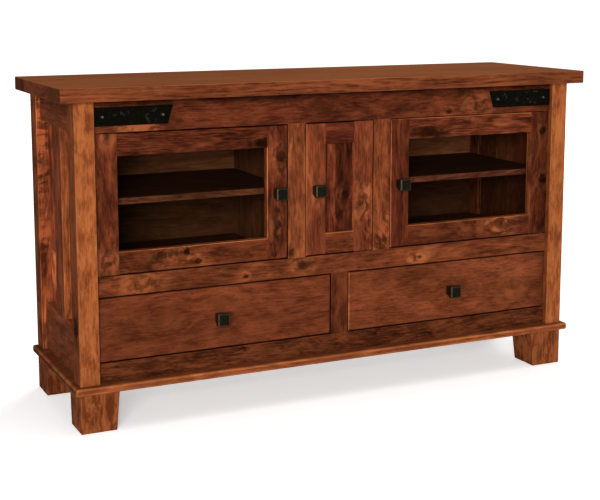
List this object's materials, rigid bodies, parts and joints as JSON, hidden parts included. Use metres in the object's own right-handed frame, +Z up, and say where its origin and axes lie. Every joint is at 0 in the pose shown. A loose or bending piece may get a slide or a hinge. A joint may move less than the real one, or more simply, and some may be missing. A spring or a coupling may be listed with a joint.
{
  "type": "tv console",
  "caption": "Low wooden television cabinet with glass doors at the sides and a panelled door between them over drawers, iron corner straps, square knobs and tapered block feet.",
  "frame": {"origin": "on the floor, under the middle of the top", "axes": "+Z up, +X to the right seen from the front, the doors and drawers face -Y"},
  "size_m": [1.524, 0.468, 0.864],
  "materials": {
    "top_wood": "satin lacquer on red-brown stained wood",
    "post_wood": "satin lacquer on orange-brown stained wood",
    "case_wood": "satin lacquer on red-brown stained wood",
    "face_wood": "satin lacquer on red-brown knotty wood",
    "door_wood": "satin lacquer on red-brown knotty wood",
    "inner_wood": "satin lacquer on brown wood",
    "drawer_box_wood": "clear satin lacquer on pale wood",
    "black_iron": "hammered black iron",
    "dark_bronze": "dark bronze",
    "door_glass": "clear",
    "hinge_brass": "satin",
    "catch_plastic": "moulded",
    "strike_steel": "zinc plated",
    "slide_steel": "zinc plated"
  },
  "bodies": {
    "cabinet": {"top_slab": "top_wood", "post_front_left": "post_wood", "post_front_right": "post_wood", "post_back_left": "case_wood", "post_back_right": "case_wood", "face_top_rail": "face_wood", "face_middle_rail": "face_wood", "face_bottom_rail": "face_wood", "door_stiles": "face_wood", "drawer_stile": "face_wood", "side_rails_left": "case_wood", "side_rails_right": "case_wood", "side_mullions": "case_wood", "side_panel_left": "case_wood", "side_panel_right": "case_wood", "base_board": "case_wood", "feet_front": "post_wood", "feet_back": "post_wood", "cabinet_floor": "inner_wood", "partition_left": "inner_wood", "partition_right": "inner_wood", "drawer_partition": "inner_wood", "slide_cleats": "inner_wood", "back_panel": "inner_wood", "shelf_left": "inner_wood", "shelf_center": "inner_wood", "shelf_right": "inner_wood", "shelf_pins": "hinge_brass", "corner_straps": "black_iron", "strap_screws": "black_iron", "door_catches": "catch_plastic", "hinge_pivots": "hinge_brass", "slide_cabinet_members": "slide_steel"},
    "left_door": {"left_door_frame": "door_wood", "left_door_glass": "door_glass", "left_door_beads": "door_wood", "left_door_knob": "dark_bronze", "left_door_hinge_leaves": "hinge_brass", "left_door_strike": "strike_steel"},
    "right_door": {"right_door_frame": "door_wood", "right_door_glass": "door_glass", "right_door_beads": "door_wood", "right_door_knob": "dark_bronze", "right_door_hinge_leaves": "hinge_brass", "right_door_strike": "strike_steel"},
    "center_door": {"center_door_frame": "door_wood", "center_door_panel": "door_wood", "center_door_knob": "dark_bronze", "center_door_hinge_leaves": "hinge_brass", "center_door_strike": "strike_steel"},
    "left_drawer": {"left_drawer_front": "door_wood", "left_drawer_box": "drawer_box_wood", "left_drawer_knob": "dark_bronze", "left_slide_drawer_members": "slide_steel"},
    "right_drawer": {"right_drawer_front": "door_wood", "right_drawer_box": "drawer_box_wood", "right_drawer_knob": "dark_bronze", "right_slide_drawer_members": "slide_steel"},
    "left_slide_middles": {"left_slide_middle_members": "slide_steel"},
    "right_slide_middles": {"right_slide_middle_members": "slide_steel"}
  },
  "joints": [
    {"name": "left_door_hinge", "type": "hinge", "parent": "cabinet", "child": "left_door", "pos_m": [-0.663, -0.188, 0.571], "axis": [0, 0, -1], "range_deg": [0, 95]},
    {"name": "center_door_hinge", "type": "hinge", "parent": "cabinet", "child": "center_door", "pos_m": [0.091, -0.188, 0.571], "axis": [0, 0, 1], "range_deg": [0, 100]},
    {"name": "right_door_hinge", "type": "hinge", "parent": "cabinet", "child": "right_door", "pos_m": [0.663, -0.188, 0.571], "axis": [0, 0, 1], "range_deg": [0, 95]},
    {"name": "left_drawer_slide", "type": "slide", "parent": "cabinet", "child": "left_drawer", "axis": [0, -1, 0], "range_m": [0, 0.34]},
    {"name": "left_middle_slide", "type": "slide", "parent": "cabinet", "child": "left_slide_middles", "axis": [0, -1, 0], "range_m": [0, 0.17]},
    {"name": "right_drawer_slide", "type": "slide", "parent": "cabinet", "child": "right_drawer", "axis": [0, -1, 0], "range_m": [0, 0.34]},
    {"name": "right_middle_slide", "type": "slide", "parent": "cabinet", "child": "right_slide_middles", "axis": [0, -1, 0], "range_m": [0, 0.17]}
  ],
  "couplings": [
    {"joint": "left_middle_slide", "follows": "left_drawer_slide", "ratio": 0.5},
    {"joint": "right_middle_slide", "follows": "right_drawer_slide", "ratio": 0.5}
  ]
}
